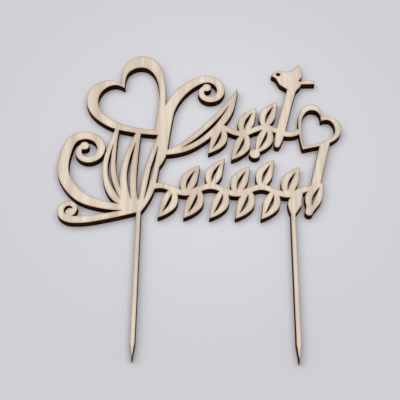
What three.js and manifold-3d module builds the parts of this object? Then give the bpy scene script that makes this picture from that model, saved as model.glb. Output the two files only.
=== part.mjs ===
// Wedding cake topper: one outline, laser-cut out of a sheet of three-ply basswood plywood.
// It lies on its back, with +X to its right, +Y toward its top and +Z out of its front face.
// Lengths are in millimetres. The drawing starts midway between the stakes, at their tops.
import * as THREE from "three";
import { mergeVertices } from "three/addons/utils/BufferGeometryUtils.js";
import Module from "manifold-3d";

// The plywood: two face veneers and a core, bonded by two glue lines
const faceVeneer = 0.75;
const coreVeneer = 1.3;
const glueLine = 0.1;
const sheet = 2 * faceVeneer + 2 * glueLine + coreVeneer;

// How far the cut's straight steps may stray from the drawn curves, also as a share of an
// opening's width, and the drawing's own steps
const cutError = 0.12;
const cutErrorShare = 0.03;
const drawnError = 0.01;
const stepsPerSpan = 12;
const stepsPerTurn = 48;

// How many rows draw a whole turn of a volute and one bay of a vine
const rowsPerTurn = 8;
const rowsPerBay = 3;

// How far a cutter stands past the sheet
const overrun = 1;

// The two stakes that are pushed into the cake: a root in the ornament, a shank and a point
const stakeSpacing = 58.4;
const stakeWidth = 1.7;
const stakeLength = 57.8;
const stakePoint = 6.5;
const stakeRoot = 6;
const leftStakeX = -stakeSpacing / 2;
const rightStakeX = stakeSpacing / 2;

// The lean of leaves and stems, as run over rise
const leanShare = 0.287;

// The crown over the left stake: plumes and two scrolls that carry the big heart
const crownWidth = 32;
const crownHeight = 36;
const plumeWidth = 6;
const plumeSlit = 1.1;
const scrollStroke = 4.4;
const voluteStroke = 3.7;
const footStroke = 2.8;
const scrollBall = 3.6;
const crownVolute = 7.4;
const footVolute = 4;

// The frond that carries the upper tier, a scroll and a plume over the crown's right plume
const frondWidth = 34;
const frondHeight = 44.5;
const frondVolute = 6.6;

// The leafy vine of each tier
const lowerVineHeight = 10.5;
const lowerBays = 6;
const lowerPitch = stakeSpacing / lowerBays;
const lowerStartShare = 0.09;
const upperBays = 4;
const vineWave = 1.6;
const vineStroke = 2.5;
const leafLength = 12.4;
const leafWidth = 6.4;
const leafSlit = 0.9;

// The small heart's stem and the bird's twig: their strokes, the lean that they share, and each
// one's rise and drop from the vine it crosses
const stemStroke = 3.6;
const twigStroke = 3.55;
const stemLeanShare = 0.25;
const stemRise = 23.1;
const stemDrop = 9;
const twigBay = 3.165;
const twigRise = 22.7;
const twigDrop = 6;

// The bud under the upper vine
const budWidth = 4.2;

// The hearts and the bird, as wide and as high as their outer edges
const heartWidth = 31.9;
const heartHeight = 38.8;
const smallHeartWidth = 17.1;
const smallHeartHeight = 21.5;
const birdWidth = 17.6;
const birdHeight = 13.9;
const birdEye = 1.6;

const wasm = await Module();
wasm.setup();

// Rows of [across, up, wide] shares, set in a box as rows of [x, y, width]
function placed(box, shares) {
  return shares.map(([across, up, wide = 0]) => [
    box.x + across * box.width,
    box.y + up * box.height,
    wide * (box.stroke ?? 0),
  ]);
}

// A point given in shares of a box
function spot(box, [across, up]) {
  return [box.x + across * box.width, box.y + up * box.height];
}

// The box of a figure whose seat, in shares of the box, lies on a point
function seated([x, y], [across, up], width, height) {
  return { x: x - across * width, y: y - up * height, width, height };
}

// Points along the smooth curve through rows of [x, y, width]
function drawn(rows) {
  const through = rows.map((row) => new THREE.Vector3(...row));
  const curve = new THREE.CatmullRomCurve3(through, false, "centripetal");
  return curve.getPoints(stepsPerSpan * (rows.length - 1));
}

// How far a point lies from the straight cut between two others
function strays(point, from, to) {
  const cut = new THREE.Line3(from, to);
  return cut.closestPointToPoint(point, true, new THREE.Vector3()).distanceTo(point);
}

// A run of points without those that straight steps can leave out
function thinned(points, error) {
  const ends = [points[0], points.at(-1)];
  if (points.length < 3) return ends;
  const misses = points.map((point) => strays(point, ...ends));
  const most = Math.max(...misses);
  if (most < error) return ends;
  const at = misses.indexOf(most);
  const before = thinned(points.slice(0, at + 1), error);
  return [...before.slice(0, -1), ...thinned(points.slice(at), error)];
}

// A closed outline from points that go round it once
function closed(points, error = drawnError) {
  const flat = points.map((point) => new THREE.Vector3(point.x, point.y, 0));
  return thinned([...flat, flat[0]], error).slice(0, -1);
}

// The outline of a stroke with round ends, from rows of [x, y, width] down its middle
function stroke(rows) {
  const middle = drawn(rows);
  const last = middle.length - 1;
  const headings = middle.map((_, i) => {
    const before = middle[Math.max(i - 1, 0)];
    const after = middle[Math.min(i + 1, last)];
    return Math.atan2(after.y - before.y, after.x - before.x);
  });
  const edge = (i, turn) => {
    const out = Math.max(middle[i].z, 0) / 2;
    const angle = headings[i] + turn;
    return { x: middle[i].x + out * Math.cos(angle), y: middle[i].y + out * Math.sin(angle) };
  };
  const quarter = Math.PI / 2;
  const capSteps = stepsPerTurn / 2;
  const capTurns = Array.from({ length: capSteps + 1 }, (_, i) => (i / capSteps) * Math.PI);
  const rightSide = middle.map((_, i) => edge(i, -quarter));
  const leftSide = middle.map((_, i) => edge(last - i, quarter));
  const endCap = capTurns.map((turn) => edge(last, turn - quarter));
  const startCap = capTurns.map((turn) => edge(0, turn + quarter));
  return closed([...rightSide, ...endCap, ...leftSide, ...startCap]);
}

// A closed outline of smooth runs that meet at corners
function cornered(box, runShares) {
  return closed(runShares.flatMap((shares) => drawn(placed(box, shares)).slice(0, -1)));
}

// A round outline
function disc(x, y, width) {
  const round = new THREE.EllipseCurve(x, y, width / 2, width / 2).getPoints(stepsPerTurn);
  return closed(round.slice(0, -1));
}

// A closed prism over an outline, as a solid
function prism(outline, from, to) {
  const shape = new THREE.Shape(outline.map((point) => new THREE.Vector2(point.x, point.y)));
  const geometry = new THREE.ExtrudeGeometry(shape, { depth: to - from, bevelEnabled: false });
  geometry.translate(0, 0, from);
  geometry.deleteAttribute("normal");
  geometry.deleteAttribute("uv");
  const merged = mergeVertices(geometry);
  const vertProperties = merged.getAttribute("position").array;
  const triVerts = new Uint32Array(merged.index.array);
  return new wasm.Manifold(new wasm.Mesh({ numProp: 3, vertProperties, triVerts }));
}

// The rows of a volute that turns in round its eye, from its start and on by its sweep, both in
// shares of a whole turn, while it closes in to a share of its radius and loses a share of its width
const voluteEndShare = 0.3;
const voluteTaperShare = 0.45;
function volute([eyeX, eyeY], radius, width, [startShare, sweepShare]) {
  const steps = Math.ceil(rowsPerTurn * Math.abs(sweepShare));
  return Array.from({ length: steps + 1 }, (_, i) => {
    const done = i / steps;
    const angle = 2 * Math.PI * (startShare + sweepShare * done);
    const out = radius * (1 - (1 - voluteEndShare) * done);
    const wide = width * (1 - voluteTaperShare * done);
    return [eyeX + out * Math.cos(angle), eyeY + out * Math.sin(angle), wide];
  });
}

// A scroll: a swelling stem that turns in and ends in a ball
function scroll(stemRows, voluteRows) {
  const rows = [...stemRows, ...voluteRows];
  const [x, y] = rows.at(-1);
  return { solid: [stroke(rows), disc(x, y, scrollBall)], open: [] };
}

// A plume: a long leaf with its midrib cut out
function plume(box, shares, slitShares) {
  const body = placed({ ...box, stroke: plumeWidth }, shares);
  const slit = placed({ ...box, stroke: plumeSlit }, slitShares);
  return { solid: [stroke(body)], open: [stroke(slit)] };
}

// A leaf that leans with the vine, from its foot on the vine, up (1) or down (-1) to its point
const leafShares = [
  [0, 0, 0.35],
  [-0.06, 0.22, 0.8],
  [-0.06, 0.48, 1],
  [0.08, 0.76, 0.62],
  [0.28, 1, 0],
];
const leafSlitShares = [
  [-0.04, 0.16, 0],
  [-0.07, 0.38, 1],
  [-0.02, 0.58, 0.9],
  [0.12, 0.8, 0],
];
function leaf(x, y, side) {
  const box = { x, y, width: side * leafWidth, height: side * leafLength };
  const leaned = ([rowX, rowY, wide]) => [rowX + (rowY - y) * leanShare, rowY, wide];
  const body = placed({ ...box, stroke: leafWidth }, leafShares).map(leaned);
  const slit = placed({ ...box, stroke: leafSlit }, leafSlitShares).map(leaned);
  return { solid: [stroke(body)], open: [stroke(slit)] };
}

// A point on a vine that waves once in two bays on its way between two points
function vinePoint({ from, to, bays }, bay) {
  const wave = vineWave * Math.sin(Math.PI * bay);
  const along = bay / bays;
  return [from[0] + (to[0] - from[0]) * along, from[1] + (to[1] - from[1]) * along + wave];
}
function vine(way) {
  const steps = Math.round(rowsPerBay * way.bays);
  const rows = Array.from({ length: steps + 1 }, (_, i) => {
    return [...vinePoint(way, (way.bays * i) / steps), vineStroke];
  });
  return { solid: [stroke(rows)], open: [] };
}

// A leaf on a vine at a bay
function vineLeaf(way, bay, side) {
  const [footX, footY] = vinePoint(way, bay);
  return leaf(footX, footY, side);
}

// A stake: its root in the ornament, a straight shank and a point
function stake(x) {
  const half = stakeWidth / 2;
  const shoulder = stakePoint - stakeLength;
  const outline = [
    { x: x - half, y: stakeRoot },
    { x: x - half, y: shoulder },
    { x, y: -stakeLength },
    { x: x + half, y: shoulder },
    { x: x + half, y: stakeRoot },
  ];
  return { solid: [outline], open: [] };
}

// The crown's plumes and scrolls, in shares of the crown
const leftPlumeShares = [
  [-0.02, 0.03, 0.3],
  [-0.28, 0.22, 0.86],
  [-0.38, 0.55, 0.86],
  [-0.31, 1.04, 0.25],
];
const leftSlitShares = [
  [-0.23, 0.17, 0],
  [-0.35, 0.38, 0.95],
  [-0.38, 0.58, 0.95],
  [-0.345, 0.84, 0],
];
const middlePlumeShares = [
  [-0.006, 0.03, 0.3],
  [-0.13, 0.28, 1],
  [-0.13, 0.6, 0.98],
  [-0.035, 1.04, 0.25],
];
const middleSlitShares = [
  [-0.1, 0.17, 0],
  [-0.14, 0.4, 1],
  [-0.13, 0.6, 1],
  [-0.075, 0.86, 0],
];
const rightPlumeShares = [
  [0.01, 0.03, 0.3],
  [0.085, 0.26, 0.86],
  [0.15, 0.6, 0.86],
  [0.235, 1, 0.3],
];
const rightSlitShares = [
  [0.06, 0.17, 0],
  [0.11, 0.4, 0.9],
  [0.15, 0.6, 0.9],
  [0.2, 0.82, 0],
];
const crownScrollShares = [
  [-0.02, 0.05, 0.4],
  [-0.37, 0.08, 0.75],
  [-0.71, 0.19, 1],
  [-0.92, 0.45, 1],
  [-0.915, 0.72, 0.92],
];
const crownEyeShares = [-0.665, 0.76];
const crownTurnShares = [0.38, -1.05];
const footScrollShares = [
  [-0.02, 0.03, 0.4],
  [-0.34, -0.035, 0.6],
  [-0.62, -0.085, 0.68],
];
const footEyeShares = [-0.81, 0.025];
const footTurnShares = [-0.27, -0.95];
const crownBox = { x: leftStakeX, y: 0, width: crownWidth, height: crownHeight };
function crown() {
  const scrollBox = { ...crownBox, stroke: scrollStroke };
  const crownEye = spot(crownBox, crownEyeShares);
  const crownTurn = volute(crownEye, crownVolute, voluteStroke, crownTurnShares);
  const footTurn = volute(spot(crownBox, footEyeShares), footVolute, footStroke, footTurnShares);
  return [
    plume(crownBox, leftPlumeShares, leftSlitShares),
    plume(crownBox, middlePlumeShares, middleSlitShares),
    plume(crownBox, rightPlumeShares, rightSlitShares),
    scroll(placed(scrollBox, crownScrollShares), crownTurn),
    scroll(placed(scrollBox, footScrollShares), footTurn),
  ];
}

// The frond's scroll and plume, in shares of the frond, and its foot, in shares of the crown
const frondFootShares = [0.145, 0.53];
const frondScrollShares = [
  [0.02, 0, 0.45],
  [0.1, 0.13, 0.64],
  [0.135, 0.38, 0.86],
  [0.175, 0.64, 1],
  [0.31, 0.83, 0.96],
];
const frondEyeShares = [0.63, 0.84];
const frondTurnShares = [0.36, -1.05];
const frondPlumeShares = [
  [0.14, 0.17, 0.3],
  [0.36, 0.24, 0.76],
  [0.61, 0.4, 1],
  [0.84, 0.62, 0.86],
  [0.98, 0.88, 0],
];
const frondSlitShares = [
  [0.34, 0.235, 0],
  [0.5, 0.32, 0.9],
  [0.7, 0.48, 1],
  [0.87, 0.68, 0],
];
const [frondX, frondY] = spot(crownBox, frondFootShares);
const frondBox = { x: frondX, y: frondY, width: frondWidth, height: frondHeight };
function frond() {
  const stem = placed({ ...frondBox, stroke: scrollStroke }, frondScrollShares);
  const eye = spot(frondBox, frondEyeShares);
  return [
    scroll(stem, volute(eye, frondVolute, voluteStroke, frondTurnShares)),
    plume(frondBox, frondPlumeShares, frondSlitShares),
  ];
}

// The lower tier's vine: from the crown's right plume, past a leaf on the right stake, to a stem
// that stands a share of a bay further. Its leaves hang at the bays and rise between them.
const pastBaysShare = 0.556;
const risenLeafShare = 0.5;
const lowerStart = [leftStakeX + lowerStartShare * crownWidth, lowerVineHeight];
const lowerEndBay = lowerBays + pastBaysShare;
const lowerEnd = [lowerStart[0] + lowerEndBay * lowerPitch, lowerVineHeight];
const lowerWay = { from: lowerStart, to: lowerEnd, bays: lowerEndBay };
function lowerVine() {
  const figures = [vine(lowerWay)];
  for (let bay = 1; bay < lowerBays; bay += 1) {
    figures.push(vineLeaf(lowerWay, bay, -1), vineLeaf(lowerWay, bay + risenLeafShare, 1));
  }
  return figures;
}

// The solid leaf that the right stake grows out of: its belly, and where it ends in the stake
const stakeLeafBellyShares = [0.12, 0.48, 0.82];
const stakeLeafEndShare = 0.05;
function stakeLeaf() {
  const [footX, footY] = vinePoint(lowerWay, lowerBays);
  const box = { x: rightStakeX, y: 0, width: leafWidth, height: footY, stroke: leafWidth };
  const rows = [
    [footX, footY, vineStroke],
    ...placed(box, [stakeLeafBellyShares]),
    [rightStakeX, stakeLeafEndShare * footY, stakeWidth],
  ];
  return { solid: [stroke(rows)], open: [] };
}

// The stem of the small heart crosses the end of the lower vine, with a leaf at its foot
const stemTaperShare = 0.8;
const footLeafShare = 0.25;
const stemFoot = [lowerEnd[0] - stemDrop * stemLeanShare, lowerEnd[1] - stemDrop];
const stemTop = [lowerEnd[0] + stemRise * stemLeanShare, lowerEnd[1] + stemRise];
function heartStem() {
  const rows = [
    [...stemFoot, stemTaperShare * stemStroke],
    [...lowerEnd, stemStroke],
    [...stemTop, stemStroke],
  ];
  return { solid: [stroke(rows)], open: [] };
}
function footLeaf() {
  const off = footLeafShare * stemStroke;
  return leaf(stemFoot[0] + off, stemFoot[1] + off, 1);
}

// The small heart is seated on its stem, by a point of its edge in shares of the heart
const smallHeartSeatShares = [0.614, 0.194];
const smallHeartBox = seated(stemTop, smallHeartSeatShares, smallHeartWidth, smallHeartHeight);

// The upper tier's vine: from the frond's plume to the small heart's left side
const upperStartShares = [0.61, 0.42];
const upperEndShares = [0.03, 0.4];
const upperWay = {
  from: spot(frondBox, upperStartShares),
  to: spot(smallHeartBox, upperEndShares),
  bays: upperBays,
};
const upperDownBays = [0.66, 1.64, 2.62];
const upperUpBays = [1.58, 2.5];
function upperVine() {
  const down = upperDownBays.map((bay) => vineLeaf(upperWay, bay, -1));
  const up = upperUpBays.map((bay) => vineLeaf(upperWay, bay, 1));
  return [vine(upperWay), ...down, ...up];
}

// The round bud at the point of the upper vine's last hanging leaf
function bud() {
  const [footX, footY] = vinePoint(upperWay, upperDownBays.at(-1));
  const across = leafLength * leanShare + leafShares.at(-1)[0] * leafWidth;
  return { solid: [disc(footX - across, footY - leafLength, budWidth)], open: [] };
}

// The twig that the bird sits on stands on the upper vine
const twigTaperShare = 0.6;
const [twigX, twigY] = vinePoint(upperWay, twigBay);
const twigTop = [twigX + twigRise * stemLeanShare, twigY + twigRise];
function twig() {
  const rows = [
    [twigX - twigDrop * stemLeanShare, twigY - twigDrop, twigTaperShare * twigStroke],
    [twigX, twigY, twigStroke],
    [...twigTop, twigStroke],
  ];
  return { solid: [stroke(rows)], open: [] };
}

// Each heart's edge goes over its right lobe to the tip, then over its left lobe to the notch
const heartOuterShares = [
  [
    [0.432, 0.636],
    [0.432, 0.76],
    [0.462, 0.868],
    [0.54, 0.96],
    [0.671, 1],
    [0.8, 0.978],
    [0.905, 0.885],
    [0.962, 0.745],
    [0.993, 0.56],
    [1, 0.38],
    [0.98, 0.2],
    [0.95, 0],
  ],
  [
    [0.95, 0],
    [0.66, 0.018],
    [0.37, 0.07],
    [0.24, 0.126],
    [0.12, 0.204],
    [0.035, 0.305],
    [0, 0.425],
    [0.022, 0.535],
    [0.1, 0.62],
    [0.2, 0.666],
    [0.3, 0.672],
    [0.432, 0.636],
  ],
];
const heartInnerShares = [
  [
    [0.476, 0.577],
    [0.474, 0.67],
    [0.505, 0.77],
    [0.58, 0.829],
    [0.675, 0.85],
    [0.775, 0.823],
    [0.855, 0.74],
    [0.903, 0.615],
    [0.917, 0.48],
    [0.901, 0.3],
    [0.873, 0.06],
  ],
  [
    [0.873, 0.06],
    [0.74, 0.08],
    [0.6, 0.097],
    [0.46, 0.13],
    [0.3, 0.203],
    [0.195, 0.284],
    [0.15, 0.39],
    [0.168, 0.5],
    [0.255, 0.588],
    [0.365, 0.616],
    [0.476, 0.577],
  ],
];
const smallHeartOuterShares = [
  [
    [0.54, 0.738],
    [0.54, 0.87],
    [0.46, 0.975],
    [0.33, 1],
    [0.17, 0.957],
    [0.055, 0.83],
    [0.005, 0.66],
    [0, 0.46],
    [0.025, 0.22],
    [0.072, 0],
  ],
  [
    [0.072, 0],
    [0.3, 0.043],
    [0.55, 0.1],
    [0.75, 0.172],
    [0.92, 0.285],
    [1, 0.45],
    [0.965, 0.59],
    [0.85, 0.697],
    [0.69, 0.737],
    [0.54, 0.738],
  ],
];
const smallHeartInnerShares = [
  [
    [0.532, 0.624],
    [0.528, 0.735],
    [0.47, 0.83],
    [0.35, 0.872],
    [0.22, 0.838],
    [0.12, 0.72],
    [0.075, 0.57],
    [0.068, 0.42],
    [0.08, 0.25],
    [0.108, 0.078],
  ],
  [
    [0.108, 0.078],
    [0.32, 0.11],
    [0.53, 0.166],
    [0.7, 0.24],
    [0.82, 0.33],
    [0.852, 0.45],
    [0.822, 0.565],
    [0.745, 0.642],
    [0.645, 0.658],
    [0.532, 0.624],
  ],
];
function heart(box, outerShares, innerShares) {
  return { solid: [cornered(box, outerShares)], open: [cornered(box, innerShares)] };
}

// The bird's seat on its twig, its eye, and its edge from the beak over back, wing, tail and breast
const birdSeatShares = [0.486, 0.215];
const birdEyeShares = [0.162, 0.624];
const birdShares = [
  [
    [0, 0.573],
    [0.04, 0.665],
    [0.1, 0.73],
    [0.187, 0.766],
    [0.292, 0.742],
    [0.397, 0.735],
    [0.49, 0.785],
    [0.558, 0.875],
    [0.636, 1],
  ],
  [
    [0.636, 1],
    [0.688, 0.9],
    [0.712, 0.77],
    [0.716, 0.65],
    [0.71, 0.563],
  ],
  [
    [0.71, 0.563],
    [0.672, 0.487],
    [0.648, 0.448],
    [0.628, 0.4],
  ],
  [
    [0.628, 0.4],
    [0.666, 0.384],
    [0.71, 0.388],
    [0.76, 0.418],
    [1, 0.426],
  ],
  [
    [1, 0.426],
    [1, 0.3],
  ],
  [
    [1, 0.3],
    [0.695, 0.288],
  ],
  [
    [0.695, 0.288],
    [0.662, 0.2],
    [0.612, 0.128],
    [0.57, 0.055],
    [0.55, 0],
  ],
  [
    [0.55, 0],
    [0.37, 0.085],
  ],
  [
    [0.37, 0.085],
    [0.27, 0.17],
    [0.19, 0.25],
    [0.147, 0.345],
    [0.105, 0.48],
    [0, 0.573],
  ],
];
function bird() {
  const box = seated(twigTop, birdSeatShares, birdWidth, birdHeight);
  return { solid: [cornered(box, birdShares)], open: [disc(...spot(box, birdEyeShares), birdEye)] };
}

// The big heart is seated on the crown's right plume by its tip
const bigHeartFootShares = [0.228, 0.967];
const bigHeartTipShares = heartOuterShares[1][0];
const bigHeartFoot = spot(crownBox, bigHeartFootShares);
const bigHeartBox = seated(bigHeartFoot, bigHeartTipShares, heartWidth, heartHeight);

// All the figures of the ornament and its stakes
function figures() {
  return [
    heart(bigHeartBox, heartOuterShares, heartInnerShares),
    heart(smallHeartBox, smallHeartOuterShares, smallHeartInnerShares),
    bird(),
    twig(),
    heartStem(),
    footLeaf(),
    bud(),
    stake(leftStakeX),
    stake(rightStakeX),
    stakeLeaf(),
    ...crown(),
    ...frond(),
    ...lowerVine(),
    ...upperVine(),
  ];
}

// All figures joined and their openings cut, as one solid
function cutSheet() {
  const drawing = figures();
  const bodies = drawing.flatMap((figure) => figure.solid);
  const openings = drawing.flatMap((figure) => figure.open);
  const joined = bodies.map((outline) => prism(outline, 0, sheet)).reduce((all, next) => all.add(next));
  const cutters = openings.map((outline) => prism(outline, -overrun, sheet + overrun));
  return cutters.reduce((all, next) => all.subtract(next), joined).getMesh();
}

// The loops that bound the upper face of a cut sheet, each as points in order
function faceLoops(mesh) {
  const vertex = (i) => new THREE.Vector3().fromArray(mesh.vertProperties, i * mesh.numProp);
  const after = new Map();
  const edges = new Map();
  for (let i = 0; i < mesh.triVerts.length; i += 3) {
    const corners = [...mesh.triVerts.subarray(i, i + 3)];
    if (corners.some((corner) => vertex(corner).z < sheet / 2)) continue;
    corners.forEach((corner, k) => edges.set(`${corner},${corners[(k + 1) % 3]}`, corner));
  }
  for (const edge of edges.keys()) {
    const [from, to] = edge.split(",");
    if (!edges.has(`${to},${from}`)) after.set(from, to);
  }
  const loops = [];
  while (after.size) {
    const loop = [];
    let at = after.keys().next().value;
    while (after.has(at)) {
      loop.push(vertex(Number(at)));
      const next = after.get(at);
      after.delete(at);
      at = next;
    }
    loops.push(loop);
  }
  return loops;
}

// The outline that the laser follows: the widest loop, with the others as its openings
function cutPath() {
  const bounds = new THREE.Box3();
  const wide = (loop) => bounds.setFromPoints(loop).getSize(new THREE.Vector3()).x;
  const loops = faceLoops(cutSheet()).map((loop) => {
    return closed(loop, Math.min(cutError, cutErrorShare * wide(loop)));
  });
  const ordered = loops.filter((loop) => loop.length > 2).sort((a, b) => wide(b) - wide(a));
  const middle = bounds.setFromPoints(ordered[0]).getCenter(new THREE.Vector3());
  const [edge, ...holes] = ordered.map((loop) => {
    return loop.map((point) => new THREE.Vector2(point.x - middle.x, point.y - middle.y));
  });
  const path = new THREE.Shape(edge);
  path.holes = holes.map((hole) => new THREE.Path(hole));
  return path;
}

// One layer of the plywood, cut along the path between two heights
function layer(name, path, from, to, look) {
  const geometry = new THREE.ExtrudeGeometry(path, { depth: 1, bevelEnabled: false });
  const positions = geometry.getAttribute("position");
  for (let i = 0; i < positions.count; i += 1) {
    positions.setZ(i, positions.getZ(i) > 0 ? to : from);
  }
  const mesh = new THREE.Mesh(geometry, new THREE.MeshStandardMaterial(look));
  mesh.name = name;
  return mesh;
}

// The five layers, from the back to the front
const faceLook = { color: 0xe6d9c6, roughness: 0.7 };
const coreLook = { color: 0xc9ac85, roughness: 0.75 };
const glueLook = { color: 0x6b4a2c, roughness: 0.6 };
const layers = [
  { name: "back_veneer", thickness: faceVeneer, look: faceLook },
  { name: "back_glue_line", thickness: glueLine, look: glueLook },
  { name: "core_veneer", thickness: coreVeneer, look: coreLook },
  { name: "front_glue_line", thickness: glueLine, look: glueLook },
  { name: "front_veneer", thickness: faceVeneer, look: faceLook },
];

// The topper: all layers follow one path and lie face to face
function topper() {
  const group = new THREE.Group();
  const path = cutPath();
  let floor = 0;
  for (const { name, thickness, look } of layers) {
    group.add(layer(name, path, floor, floor + thickness, look));
    floor += thickness;
  }
  return group;
}

export default topper();
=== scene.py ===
import math

import bpy
import numpy as np
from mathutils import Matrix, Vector
from mathutils.geometry import delaunay_2d_cdt
from mathutils.kdtree import KDTree


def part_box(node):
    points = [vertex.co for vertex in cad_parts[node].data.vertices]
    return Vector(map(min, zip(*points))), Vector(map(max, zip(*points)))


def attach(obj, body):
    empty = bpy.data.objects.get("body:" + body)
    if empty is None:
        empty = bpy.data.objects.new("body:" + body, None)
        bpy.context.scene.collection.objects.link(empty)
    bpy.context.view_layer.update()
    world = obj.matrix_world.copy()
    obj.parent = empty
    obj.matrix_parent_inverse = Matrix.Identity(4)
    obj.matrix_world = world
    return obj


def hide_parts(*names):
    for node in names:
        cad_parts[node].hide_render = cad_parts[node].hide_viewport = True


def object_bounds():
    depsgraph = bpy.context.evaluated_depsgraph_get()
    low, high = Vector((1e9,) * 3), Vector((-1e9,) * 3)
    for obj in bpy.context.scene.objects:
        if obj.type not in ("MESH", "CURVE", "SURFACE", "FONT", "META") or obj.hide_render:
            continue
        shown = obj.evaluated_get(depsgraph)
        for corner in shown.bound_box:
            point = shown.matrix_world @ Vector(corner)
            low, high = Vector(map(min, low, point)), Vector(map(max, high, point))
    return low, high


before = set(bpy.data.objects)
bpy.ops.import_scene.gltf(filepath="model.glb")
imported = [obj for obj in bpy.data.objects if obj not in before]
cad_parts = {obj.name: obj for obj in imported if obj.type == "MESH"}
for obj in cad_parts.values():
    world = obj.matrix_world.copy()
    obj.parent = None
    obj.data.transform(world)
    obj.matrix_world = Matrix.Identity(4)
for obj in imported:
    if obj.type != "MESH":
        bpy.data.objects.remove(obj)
cad_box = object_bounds()

MM = 0.001

# The laser's path: how far the frame's straight steps stray from the curves they stand for, the
# most that a step of the finer path turns, its longest step, and the decimals of a metre to which
# the frame's corners are matched
STRAY = 0.15 * MM
TURN_STEP = math.radians(6)
LONGEST_STEP = 0.8 * MM
SPOT_DIGITS = 7

# How far a sharp corner may move, in depths, when the path moves into the wood
MITRE = 3.0

# The search for the nearest cut: how far apart the points stand that it goes by, and the share of
# a point's own distance from its cut that every other cut has to keep
FINDER_STEP = 0.1 * MM
CLEAR_SHARE = 0.93

# The beam's cone: how far out of its path a wall's foot stands, the share of the free way in
# front of the wall that it may take, in how many steps that way is tried, and how fast the lean
# may grow along the wall
LEAN = 0.16 * MM
LEAN_SHARE = 0.6
LEAN_STEPS = 12
LEAN_GROWTH = 0.12

# The arris that the beam melts off each face, and the angle at which two faces meet in an edge
ARRIS = 0.06 * MM
EDGE_ANGLE = math.radians(30)

# The points of a face that carry its toast: their depths from the cut, and how near two of them
# may stand, as a share of their depth
TOAST_RINGS = (0.22 * MM, 0.6 * MM, 1.05 * MM)
RING_GAP = 0.5

# A way shorter than this has no direction, and face points nearer than this, in millimetres, are one
LEAST_WAY = 1e-6
LEAST_GAP = 1e-5

# A layer's two finishes, and the two ways that a face of the sheet looks
FACE, CUT = 0, 1
BACK, FRONT = -1, 1

# Marks that are as long as they are wide
EVEN = (1.0, 1.0, 1.0)

# The wood's marks: how many a metre holds across the grain, and how they are drawn out along the
# stakes. The shift picks the stretch of the sheet that the topper is cut from.
BANDS = 260
LINES = 1500
HAIRS = 5200
PORES = 2300
GRAIN_ALONG = (1.0, 0.045, 1.0)
GRAIN_SHIFT = (238 * MM, 0.0, 0.0)
HAIRS_ALONG = (1.0, 0.09, 1.0)
PORES_ALONG = (1.0, 0.13, 1.0)

# The toast beside the cut and the scorch on its arris: where each begins to fade and is gone, in
# millimetres from the cut, its share at most, and how far and how often their edge strays
TOAST_REACH = (0.1, 0.98)
TOAST_SHARE = 0.40
SCORCH_REACH = (0.0, 0.12)
SCORCH_SHARE = 0.8
RAGGED = 0.22
RAGS = 1300

# The charred walls: streaks that stand upright and smoke that drifts, in how many a metre holds
STREAKS = 4200
SMOKE = 420
UPRIGHT = (1.0, 1.0, 0.05)
DRIFTING = (1.0, 1.0, 0.6)

# The card under the topper, and the pool of light painted brighter on its middle: where the painted pool
# is centred and how far it reaches
CARD_HALF = 4.0
CARD_DROP = 0.03 * MM
CARD_GRAIN = 900
PAINTED_POOL_SPOT = (3 * MM, 22 * MM, 0.0)
PAINTED_POOL_REACH = 100 * MM

# The light: weak from all round, and a wide softbox overhead
FILL = 0.26
SOFTBOX_SPOT = (-1.9, 1.6, 5.6)
SOFTBOX_WIDTH = 12.8
SOFTBOX_DEPTH = 8.8
SOFTBOX_WATTS = 530

# The photograph's camera: where it stands, how it is turned, its lens and sensor, and the
# nearest that it sees
CAMERA_SPOT = (-4.503 * MM, -171.184 * MM, 308.635 * MM)
CAMERA_TURN = (28.954, -1.0897, 0.5595)
CAMERA_LENS = 82.8
CAMERA_SENSOR = 36
CAMERA_NEAREST = 10 * MM


def paint(red, green, blue):
    """A colour given in steps of 255, as the linear colour that the shaders take."""
    shares = [step / 255 for step in (red, green, blue)]
    return [s / 12.92 if s <= 0.04045 else ((s + 0.055) / 1.055) ** 2.4 for s in shares] + [1.0]


# The veneer's face
PALE_WOOD = paint(242, 227, 209)
WARM_WOOD = paint(208, 192, 173)
HAIR = paint(186, 160, 132)
PORE = paint(160, 126, 96)
TOAST = paint(172, 146, 120)
SCORCH = paint(128, 70, 30)

# The char on the walls of each kind of layer, where it is deepest and where wood glows through
VENEER_CHAR = (paint(30, 10, 3), paint(62, 27, 12))
CORE_CHAR = (paint(36, 14, 5), paint(78, 38, 18))
BOND_CHAR = (paint(16, 6, 3), paint(30, 13, 6))

# The card, in the painted pool of light at its middle and far from it, and the light
CARD_IN_PAINTED_POOL = (paint(224, 223, 228), paint(227, 226, 231))
CARD_OUTSIDE_PAINTED_POOL = (paint(209, 208, 213), paint(213, 212, 217))
FILL_COLOUR = paint(250, 250, 252)
SURROUND_COLOUR = paint(214, 213, 218)


class Value:
    """A socket of a node tree. Sums written with it add Math nodes."""

    def __init__(self, tree, socket):
        self.tree = tree
        self.socket = socket

    def maths(self, operation, *terms):
        return self.tree.node("ShaderNodeMath", {"operation": operation}, dict(enumerate(terms)))

    def greater(self, other):
        return self.maths("MAXIMUM", self, other)

    def __add__(self, other):
        return self.maths("ADD", self, other)

    def __sub__(self, other):
        return self.maths("SUBTRACT", self, other)

    def __rsub__(self, other):
        return self.maths("SUBTRACT", other, self)

    def __mul__(self, other):
        return self.maths("MULTIPLY", self, other)

    __radd__ = __add__
    __rmul__ = __mul__


class Tree:
    """The nodes of a material or of the world."""

    def __init__(self, owner):
        owner.use_nodes = True
        self.nodes = owner.node_tree.nodes
        self.links = owner.node_tree.links

    def node(self, kind, settings, values, output=0):
        """A node with its settings, and with values or links on its sockets."""
        made = self.nodes.new(kind)
        for key, setting in settings.items():
            setattr(made, key, setting)
        for key, value in values.items():
            self.feed(made.inputs[key], value)
        return Value(self, made.outputs[output])

    def feed(self, socket, value):
        if isinstance(value, Value):
            self.links.new(value.socket, socket)
        else:
            socket.default_value = value


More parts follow.
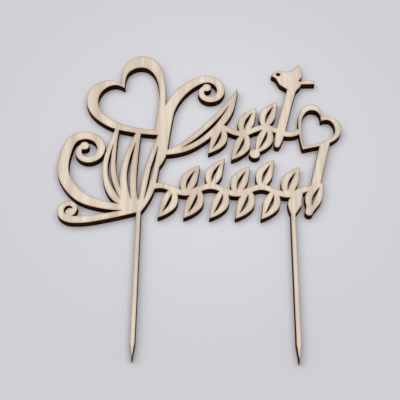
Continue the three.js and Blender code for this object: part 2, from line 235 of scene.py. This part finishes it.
class Finish(Tree):
    """A material and the nodes that give it its look."""

    def __init__(self, name):
        self.material = bpy.data.materials.new(name)
        super().__init__(self.material)
        self.surface = self.nodes["Principled BSDF"]

    def wear(self, looks):
        """Sets the shader's own sockets."""
        for name, value in looks.items():
            self.feed(self.surface.inputs[name], value)

    def place(self, scale, shift=(0.0, 0.0, 0.0)):
        """Points on the object, stretched by a scale along each axis and shifted."""
        spot = self.node("ShaderNodeTexCoord", {}, {}, "Object")
        return self.node("ShaderNodeMapping", {}, {"Vector": spot, "Scale": scale, "Location": shift})

    def reach(self, spot):
        """How far a point lies from a spot."""
        here = self.node("ShaderNodeTexCoord", {}, {}, "Object")
        return self.node("ShaderNodeVectorMath", {"operation": "DISTANCE"}, {0: here, 1: spot}, "Value")

    def noise(self, vector, per_metre, detail, rough=0.5):
        values = {"Vector": vector, "Scale": per_metre, "Detail": detail, "Roughness": rough}
        return self.node("ShaderNodeTexNoise", {}, values, "Fac")

    def ramp(self, value, low, high):
        """0 below low, 1 above high, and a smooth rise between them."""
        values = {"Value": value, "From Min": low, "From Max": high}
        return self.node("ShaderNodeMapRange", {"interpolation_type": "SMOOTHSTEP"}, values)

    def blend(self, share, first, second):
        """Two colours mixed by a share."""
        return self.node("ShaderNodeMix", {"data_type": "RGBA"}, {0: share, 6: first, 7: second}, 2)

    def bump(self, height, depth, strength):
        return self.node("ShaderNodeBump", {}, {"Height": height, "Distance": depth, "Strength": strength})


def basswood(name):
    """Sanded basswood veneer with its grain along the stakes, toasted beside the cut."""
    finish = Finish(name)
    grain = finish.place(GRAIN_ALONG, GRAIN_SHIFT)
    bands = finish.noise(grain, BANDS, 3)
    lines = finish.noise(grain, LINES, 4, 0.6)
    hairs = finish.noise(finish.place(HAIRS_ALONG), HAIRS, 2)
    pores = finish.noise(finish.place(PORES_ALONG), PORES, 1)
    wood = finish.blend(finish.ramp(bands * 0.62 + lines * 0.38, 0.34, 0.66), PALE_WOOD, WARM_WOOD)
    wood = finish.blend(finish.ramp(hairs, 0.62, 0.78) * 0.30, wood, HAIR)
    wood = finish.blend(finish.ramp(pores, 0.70, 0.78) * 0.28, wood, PORE)
    from_cut = finish.node("ShaderNodeAttribute", {"attribute_name": "from_cut"}, {}, "Fac")
    reach = from_cut - (finish.noise(finish.place(EVEN), RAGS, 3) - 0.5) * RAGGED
    wood = finish.blend((1 - finish.ramp(reach, *TOAST_REACH)) * TOAST_SHARE, wood, TOAST)
    wood = finish.blend((1 - finish.ramp(reach, *SCORCH_REACH)) * SCORCH_SHARE, wood, SCORCH)
    relief = finish.bump(lines * 0.5 + hairs * 0.5, 0.03 * MM, 0.5)
    finish.wear({"Base Color": wood, "Roughness": 0.62 + hairs * 0.12, "Normal": relief})
    finish.wear({"Specular IOR Level": 0.3})
    return finish.material


def charred(name, deep, glow):
    """A cut wall, charred by the beam, with the beam's upright streaks."""
    finish = Finish(name)
    streaks = finish.noise(finish.place(UPRIGHT), STREAKS, 2)
    smoke = finish.noise(finish.place(DRIFTING), SMOKE, 3)
    soot = finish.blend(finish.ramp(streaks * 0.55 + smoke * 0.45, 0.38, 0.7), deep, glow)
    relief = finish.bump(streaks, 0.04 * MM, 0.6)
    finish.wear({"Base Color": soot, "Roughness": 0.7 + streaks * 0.2, "Normal": relief})
    finish.wear({"Specular IOR Level": 0.03})
    return finish.material


def pale_card_with_painted_pool():
    """Pale card, painted brighter round the middle of the topper as a pool of light."""
    finish = Finish("pale_card_with_painted_pool")
    grain = finish.noise(finish.place(EVEN), CARD_GRAIN, 3)
    near = finish.blend(grain, *CARD_IN_PAINTED_POOL)
    far = finish.blend(grain, *CARD_OUTSIDE_PAINTED_POOL)
    # Painted pool of light: the card's colour is painted brighter near the spot and fades to the outer
    # tone by the reach
    card_tone_and_painted_pool = finish.blend(finish.ramp(finish.reach(PAINTED_POOL_SPOT), 0.0, PAINTED_POOL_REACH), near, far)
    finish.wear({"Base Color": card_tone_and_painted_pool, "Roughness": 0.7, "Specular IOR Level": 0.2})
    return finish.material


def cut_loops(node):
    """The loops that bound a layer's upper face, widest first, with the wood on their left."""
    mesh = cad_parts[node].data
    mesh.calc_loop_triangles()
    points = np.array([vertex.co[:] for vertex in mesh.vertices])
    upper = points[:, 2] > points[:, 2].mean()
    spots = [tuple(round(value, SPOT_DIGITS) for value in point[:2]) for point in points.tolist()]
    flats = [tri.vertices for tri in mesh.loop_triangles if all(upper[i] for i in tri.vertices)]
    edges = {(spots[tri[k]], spots[tri[(k + 1) % 3]]) for tri in flats for k in range(3)}
    follows = dict(sorted(edge for edge in edges if edge[::-1] not in edges))
    loops = []
    while follows:
        at, loop = next(iter(follows)), []
        while at in follows:
            loop.append(at)
            at = follows.pop(at)
        loops.append(np.array(loop))
    return sorted(loops, key=lambda loop: -np.ptp(loop[:, 0]))


def steps_of(loop):
    """The step from each point of a loop to the next, and its length."""
    steps = np.roll(loop, -1, 0) - loop
    return steps, np.hypot(*steps.T)


def smooth(loop):
    """The curve that a loop's steps stand for. A turn that no such curve could make stays a corner."""
    steps, length = steps_of(loop)
    heading = np.arctan2(steps[:, 1], steps[:, 0])
    turn = (heading - np.roll(heading, 1) + math.pi) % (2 * math.pi) - math.pi
    # A curve that leaves its chord at an angle strays from it by a quarter of angle times length
    give = 4 * STRAY / length
    give_before = np.roll(give, 1)
    length_before = np.roll(length, 1)
    corner = abs(turn) > give_before + give
    share = abs(turn) * length_before / (length_before + length)
    lean = np.sign(turn) * np.clip(share, abs(turn) - give, give_before)
    points = []
    for i, start in enumerate(loop):
        after = (i + 1) % len(loop)
        leaves = None if corner[i] else lean[i] - turn[i]
        arrives = None if corner[after] else lean[after]
        if leaves is None:
            leaves = 0 if arrives is None else -arrives
        if arrives is None:
            arrives = -leaves
        turned = (abs(leaves) + abs(arrives)) / TURN_STEP
        count = math.ceil(max(turned, length[i] / LONGEST_STEP))
        points += hermite(start, loop[after], heading[i], length[i], leaves, arrives, count)
    return np.array(points)


def hermite(start, end, heading, length, leaves, arrives, count):
    """Points of the curve that leaves and arrives at angles from its chord, without the last."""
    tangents = []
    for lean in (leaves, arrives):
        reach = 2 * length / (1 + math.cos(lean))
        tangents.append(reach * np.array([math.cos(heading + lean), math.sin(heading + lean)]))
    points = []
    for k in range(count):
        t = k / count
        ends = (2 * t**3 - 3 * t**2 + 1) * start + (3 * t**2 - 2 * t**3) * end
        points.append(ends + (t**3 - 2 * t**2 + t) * tangents[0] + (t**3 - t**2) * tangents[1])
    return points


def inward_ways(loop):
    """The way into the wood, square to the step before each point and to the one after it."""
    steps, length = steps_of(loop)
    steps /= length[:, None]
    after = np.column_stack([-steps[:, 1], steps[:, 0]])
    return np.roll(after, 1, 0), after


def inset(loop, depth):
    """A loop moved into the wood on its left."""
    before, after = inward_ways(loop)
    facing = np.maximum(1 + (after * before).sum(1), 2 / MITRE**2)
    return loop + depth * (after + before) / facing[:, None]


def fan(loop, depth):
    """Points at a depth in the wood, with more than one round the end of a slit."""
    before, after = inward_ways(loop)
    middle = before + after
    middle /= np.maximum(np.hypot(*middle.T), LEAST_WAY)[:, None]
    rows = [loop + before * depth, inset(loop, depth), loop + middle * depth, loop + after * depth]
    return np.stack(rows, 1).reshape(-1, 2)


def edge_finder(loops):
    """A search tree over points set closely along the loops."""
    close = []
    for loop in loops:
        steps, length = steps_of(loop)
        for start, step, count in zip(loop, steps, np.ceil(length / FINDER_STEP).astype(int)):
            close += [start + step * k / count for k in range(count)]
    finder = KDTree(len(close))
    for i, (x, y) in enumerate(close):
        finder.insert((x, y, 0), i)
    finder.balance()
    return finder


def wall_feet(loops):
    """Where the foot of the wall stands under each point of the loops. In a slit it leans less."""
    finder = edge_finder(loops)
    step = LEAN / LEAN_SHARE / LEAN_STEPS
    feet = []
    for loop in loops:
        away = loop - inset(loop, step)
        away /= np.hypot(*away.T)[:, None]
        outs = []
        for point, way in zip(loop, away):
            free = 0
            while free < LEAN_STEPS and is_free(finder, point, way, step * (free + 1)):
                free += 1
            outs.append(LEAN * free / LEAN_STEPS)
        feet.append(loop + away * np.array(eased(outs, steps_of(loop)[1]))[:, None])
    return feet


def is_free(finder, point, way, reach):
    """Whether no other wall is nearer to a spot in front of a point of the wall."""
    x, y = point + way * reach
    return finder.find((x, y, 0))[2] > CLEAR_SHARE * reach


def eased(outs, lengths):
    """The leans round a loop, lessened where they would grow too fast along the wall."""
    count = len(outs)
    for _ in range(2):
        for k in range(count):
            outs[k] = min(outs[k], outs[k - 1] + LEAN_GROWTH * lengths[k - 1])
        for k in reversed(range(count)):
            outs[k] = min(outs[k], outs[(k + 1) % count] + LEAN_GROWTH * lengths[k])
    return outs


def toast_points(loops):
    """Points on the face at about set depths from the cut, each with its distance to it."""
    finder = edge_finder(loops)
    kept = []
    for depth in TOAST_RINGS:
        for loop in loops:
            last = None
            for x, y in fan(loop, depth):
                away = finder.find((x, y, 0))[2]
                if away < CLEAR_SHARE * depth:
                    continue
                if last is not None and math.dist(last, (x, y)) < RING_GAP * depth:
                    continue
                last = (x, y)
                kept.append((x, y, away))
    return kept


def cap(loops, extra):
    """Triangles over the wood inside the loops and through the extra points, with their vertices."""
    flat = [Vector(point) / MM for loop in loops for point in loop.tolist()]
    flat += [Vector((x, y)) / MM for x, y, away in extra]
    outlines = []
    first = 0
    for loop in loops:
        outline = list(range(first, first + len(loop)))
        outlines.append(outline if not outlines else outline[::-1])
        first += len(loop)
    points, _, triangles, sources, _, owners = delaunay_2d_cdt(flat, [], outlines, 1, LEAST_GAP)
    inside = [triangle for triangle, owner in zip(triangles, owners) if list(owner) == [0]]
    return [point * MM for point in points], inside, [min(s) if s else None for s in sources]


class Layer:
    """A layer's mesh in the making. Its rings stand on each other, from the back to the front."""

    def __init__(self, path, rings):
        self.loops, self.feet = path
        self.rings = rings
        self.count = sum(len(loop) for loop in self.loops)
        self.points = []
        for z, depth in rings:
            self.points += [(x, y, z) for rim in self.rims(z, depth) for x, y in rim.tolist()]
        self.depths = [0.0] * len(self.points)
        self.faces = []
        self.looks = []

    def rims(self, z, depth):
        """The laser's path at a height, leaned out toward its foot and moved into the wood."""
        drop = 1 - z / cad_box[1][2]
        return [inset(loop, depth) + (foot - loop) * drop for loop, foot in zip(self.loops, self.feet)]

    def walls(self):
        """Joins each ring to the next. A slope between them, the arris, is part of the face."""
        for ring in range(len(self.rings) - 1):
            first = ring * self.count
            sloped = self.rings[ring][1] != self.rings[ring + 1][1]
            for loop in self.loops:
                for k in range(len(loop)):
                    here, there = first + k, first + (k + 1) % len(loop)
                    self.faces.append((here, there, there + self.count, here + self.count))
                    self.looks.append(FACE if sloped else CUT)
                first += len(loop)

    def cover(self, ring, side):
        """Closes the first or the last ring, with toast where the layer has an arris."""
        z, depth = self.rings[ring]
        extra = toast_points(self.rims(z, 0)) if depth else []
        spots, triangles, sources = cap(self.rims(z, depth), extra)
        numbers = []
        for spot, source in zip(spots, sources):
            if source is not None and source < self.count:
                numbers.append(ring * self.count + source)
                continue
            numbers.append(len(self.points))
            self.points.append((spot.x, spot.y, z))
            self.depths.append(0.0 if source is None else extra[source - self.count][2] / MM)
        self.faces += [[numbers[i] for i in triangle[::side]] for triangle in triangles]
        self.looks += [FACE] * len(triangles)

    def mesh(self, name, finishes):
        mesh = bpy.data.meshes.new(name)
        mesh.from_pydata(self.points, [], self.faces)
        for finish in finishes:
            mesh.materials.append(finish)
        mesh.polygons.foreach_set("material_index", self.looks)
        mesh.attributes.new("from_cut", "FLOAT", "POINT").data.foreach_set("value", self.depths)
        mesh.shade_smooth()
        mesh.set_sharp_from_angle(angle=EDGE_ANGLE)
        mesh.validate()
        return mesh


def ply(name, node, path, arrises, finishes):
    """One layer of the plywood, cut along the laser's path, which stands for its node."""
    low, high = (corner.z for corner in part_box(node))
    back, front = arrises
    rings = [(low, back)]
    rings += [(low + back, 0.0)] if back else []
    rings += [(high - front, 0.0)] if front else []
    rings += [(high, front)]
    layer = Layer(path, rings)
    layer.walls()
    layer.cover(0, BACK)
    layer.cover(len(rings) - 1, FRONT)
    piece = bpy.data.objects.new(name, layer.mesh(name, finishes))
    bpy.context.scene.collection.objects.link(piece)
    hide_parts(node)
    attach(piece, "root")


def topper():
    """The topper's five layers, back to front."""
    loops = [smooth(loop) for loop in cut_loops("front_veneer")]
    path = (loops, wall_feet(loops))
    veneer = [basswood("basswood_face"), charred("veneer_cut", *VENEER_CHAR)]
    core = [charred("core_cut", *CORE_CHAR)] * 2
    bond = [charred("bond_cut", *BOND_CHAR)] * 2
    ply("back_basswood_veneer", "back_veneer", path, (ARRIS, 0), veneer)
    ply("back_bond", "back_glue_line", path, (0, 0), bond)
    ply("cross_grain_core", "core_veneer", path, (0, 0), core)
    ply("front_bond", "front_glue_line", path, (0, 0), bond)
    ply("front_basswood_veneer", "front_veneer", path, (0, ARRIS), veneer)


def floor():
    """A wide pale card under the topper."""
    mesh = bpy.data.meshes.new("card")
    sides = ((-1, -1), (1, -1), (1, 1), (-1, 1))
    corners = [(x * CARD_HALF, y * CARD_HALF, 0) for x, y in sides]
    mesh.from_pydata(corners, [], [(0, 1, 2, 3)])
    mesh.materials.append(pale_card_with_painted_pool())
    card = bpy.data.objects.new("card", mesh)
    card.location.z = -CARD_DROP
    bpy.context.scene.collection.objects.link(card)


def softbox():
    """A lamp that faces straight down."""
    light = bpy.data.lights.new("softbox", "AREA")
    light.shape = "RECTANGLE"
    light.size = SOFTBOX_WIDTH
    light.size_y = SOFTBOX_DEPTH
    light.energy = SOFTBOX_WATTS
    lamp = bpy.data.objects.new("softbox", light)
    lamp.location = SOFTBOX_SPOT
    bpy.context.scene.collection.objects.link(lamp)


def surroundings():
    """Weak light from all round, and a pale surround for what is seen direct or mirrored."""
    world = bpy.data.worlds.new("studio")
    bpy.context.scene.world = world
    tree = Tree(world)
    fill = tree.nodes["Background"]
    tree.feed(fill.inputs["Color"], FILL_COLOUR)
    tree.feed(fill.inputs["Strength"], FILL)
    surround = tree.node("ShaderNodeBackground", {}, {"Color": SURROUND_COLOUR})
    seen = tree.node("ShaderNodeLightPath", {}, {}, "Is Camera Ray")
    for ray in ("Is Glossy Ray", "Is Transmission Ray"):
        seen = seen.greater(tree.node("ShaderNodeLightPath", {}, {}, ray))
    shaders = {0: seen, 1: Value(tree, fill.outputs[0]), 2: surround}
    mix = tree.node("ShaderNodeMixShader", {}, shaders)
    tree.feed(tree.nodes["World Output"].inputs["Surface"], mix)


def camera():
    data = bpy.data.cameras.new("photo_camera")
    data.lens = CAMERA_LENS
    data.sensor_width = CAMERA_SENSOR
    data.clip_start = CAMERA_NEAREST
    seen = bpy.data.objects.new("photo_camera", data)
    seen.location = CAMERA_SPOT
    seen.rotation_euler = [math.radians(angle) for angle in CAMERA_TURN]
    bpy.context.scene.collection.objects.link(seen)
    bpy.context.scene.camera = seen


topper()
floor()
softbox()
surroundings()
camera()
bpy.context.scene.view_settings.view_transform = "Standard"
